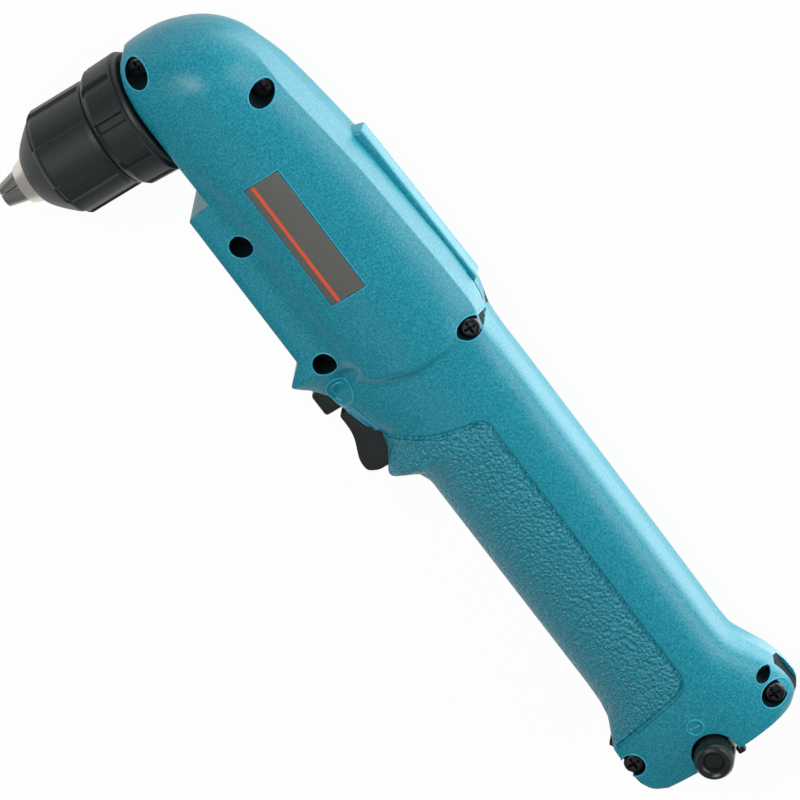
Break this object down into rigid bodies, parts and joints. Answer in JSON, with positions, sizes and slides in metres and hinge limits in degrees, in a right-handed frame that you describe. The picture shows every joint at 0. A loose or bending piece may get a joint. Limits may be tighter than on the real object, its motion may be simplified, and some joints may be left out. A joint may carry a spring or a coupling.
{
  "type": "right angle drill",
  "caption": "Cordless right angle drill with a keyless chuck set square to a long battery handle, a slide trigger, a reversing lever and a swinging battery latch.",
  "frame": {"origin": "middle of the tips of the closed chuck jaws, on the chuck axis", "axes": "+X along the chuck axis from the jaw tips into the tool, +Y along the handle towards the head, +Z out of the left side that shows the name plate"},
  "size_m": [0.1151, 0.316, 0.05],
  "materials": {
    "housing_plastic": "satin moulded",
    "screw_black": "black oxide",
    "plate_grey": "printed sheet",
    "black_plastic": "moulded",
    "dark_plastic": "moulded",
    "battery_plastic": "moulded",
    "cell_wrap": "shrink sleeve",
    "contact_brass": "plated",
    "wire_red": "insulated",
    "steel": "ground",
    "chuck_steel": "turned",
    "ring_gear_plastic": "moulded",
    "cast_case": "as cast",
    "bronze": "sintered",
    "felt": "pressed",
    "magnet": "ferrite",
    "copper": "copper"
  },
  "bodies": {
    "tool": {"left_housing": "housing_plastic", "right_housing": "housing_plastic", "housing_screws": "screw_black", "name_plate": "plate_grey", "switch_body": "dark_plastic", "contact_block": "dark_plastic", "motor_end_cap": "dark_plastic", "battery_case": "battery_plastic", "battery_cap": "battery_plastic", "battery_cells": "cell_wrap", "battery_contacts": "contact_brass", "contact_blades": "contact_brass", "switch_terminals": "contact_brass", "motor_terminals": "contact_brass", "lead_wires": "wire_red", "pinion_bearing": "steel", "front_bearing_outer": "steel", "front_bearing_balls": "steel", "retaining_ring": "steel", "latch_pins": "steel", "motor_can": "steel", "trigger_spring": "steel", "ring_gear": "ring_gear_plastic", "gear_case": "cast_case", "rear_bush": "bronze", "motor_bushes": "bronze", "dust_seal": "felt", "motor_magnets": "magnet", "brushes": "magnet"},
    "spindle_unit": {"spindle": "steel", "bevel_gear": "steel", "chuck_body": "chuck_steel", "chuck_rear_ring": "black_plastic", "chuck_screw": "steel", "front_bearing_inner": "steel"},
    "sleeve_unit": {"chuck_sleeve": "black_plastic", "chuck_nut": "steel"},
    "jaw_1_unit": {"jaw_1": "chuck_steel"},
    "jaw_2_unit": {"jaw_2": "chuck_steel"},
    "jaw_3_unit": {"jaw_3": "chuck_steel"},
    "carrier_unit": {"planet_carrier": "steel", "planet_pins": "steel", "bevel_pinion": "steel"},
    "planet_1_unit": {"planet_gear_1": "steel"},
    "planet_2_unit": {"planet_gear_2": "steel"},
    "planet_3_unit": {"planet_gear_3": "steel"},
    "rotor_unit": {"motor_shaft": "steel", "armature_core": "steel", "armature_windings": "copper", "commutator": "copper", "sun_gear": "steel"},
    "trigger_unit": {"trigger": "black_plastic"},
    "lever_unit": {"reversing_lever": "black_plastic"},
    "latch_unit": {"latch_plate": "black_plastic"}
  },
  "joints": [
    {"name": "spindle_spin", "type": "hinge", "parent": "tool", "child": "spindle_unit", "pos_m": [0, 0, 0], "axis": [1, 0, 0], "continuous": true},
    {"name": "sleeve_turn", "type": "hinge", "parent": "spindle_unit", "child": "sleeve_unit", "pos_m": [0.02, 0, 0], "axis": [1, 0, 0], "range_deg": [0, 2190]},
    {"name": "jaw_1_slide", "type": "slide", "parent": "spindle_unit", "child": "jaw_1_unit", "axis": [0.9659, 0.2588, 0], "range_m": [0, 0.01545]},
    {"name": "jaw_2_slide", "type": "slide", "parent": "spindle_unit", "child": "jaw_2_unit", "axis": [0.9659, -0.1294, 0.2241], "range_m": [0, 0.01545]},
    {"name": "jaw_3_slide", "type": "slide", "parent": "spindle_unit", "child": "jaw_3_unit", "axis": [0.9659, -0.1294, -0.2241], "range_m": [0, 0.01545]},
    {"name": "carrier_spin", "type": "hinge", "parent": "tool", "child": "carrier_unit", "pos_m": [0.085, -0.02, 0], "axis": [0, 1, 0], "continuous": true},
    {"name": "planet_1_spin", "type": "hinge", "parent": "carrier_unit", "child": "planet_1_unit", "pos_m": [0.094, -0.03, 0], "axis": [0, 1, 0], "continuous": true},
    {"name": "planet_2_spin", "type": "hinge", "parent": "carrier_unit", "child": "planet_2_unit", "pos_m": [0.0805, -0.03, -0.00779], "axis": [0, 1, 0], "continuous": true},
    {"name": "planet_3_spin", "type": "hinge", "parent": "carrier_unit", "child": "planet_3_unit", "pos_m": [0.0805, -0.03, 0.00779], "axis": [0, 1, 0], "continuous": true},
    {"name": "rotor_spin", "type": "hinge", "parent": "tool", "child": "rotor_unit", "pos_m": [0.085, -0.06, 0], "axis": [0, 1, 0], "continuous": true},
    {"name": "trigger_slide", "type": "slide", "parent": "tool", "child": "trigger_unit", "axis": [1, 0, 0], "range_m": [0, 0.005], "stiffness_N_per_m": 700, "springref_m": -0.005, "deforming": ["trigger_spring"]},
    {"name": "lever_swing", "type": "hinge", "parent": "tool", "child": "lever_unit", "pos_m": [0.066, -0.117, 0], "axis": [0, 1, 0], "range_deg": [-9, 9]},
    {"name": "latch_swing", "type": "hinge", "parent": "tool", "child": "latch_unit", "pos_m": [0.083, -0.2853, 0], "axis": [0, 0, 1], "range_deg": [0, 125]}
  ],
  "couplings": [
    {"joint": "jaw_1_slide", "follows": "sleeve_turn", "m_per_rad": 0.00040434},
    {"joint": "jaw_2_slide", "follows": "sleeve_turn", "m_per_rad": 0.00040434},
    {"joint": "jaw_3_slide", "follows": "sleeve_turn", "m_per_rad": 0.00040434},
    {"joint": "carrier_spin", "follows": "spindle_spin", "ratio": -2.5},
    {"joint": "planet_1_spin", "follows": "spindle_spin", "ratio": 6.6667},
    {"joint": "planet_2_spin", "follows": "spindle_spin", "ratio": 6.6667},
    {"joint": "planet_3_spin", "follows": "spindle_spin", "ratio": 6.6667},
    {"joint": "rotor_spin", "follows": "spindle_spin", "ratio": -12.5}
  ]
}
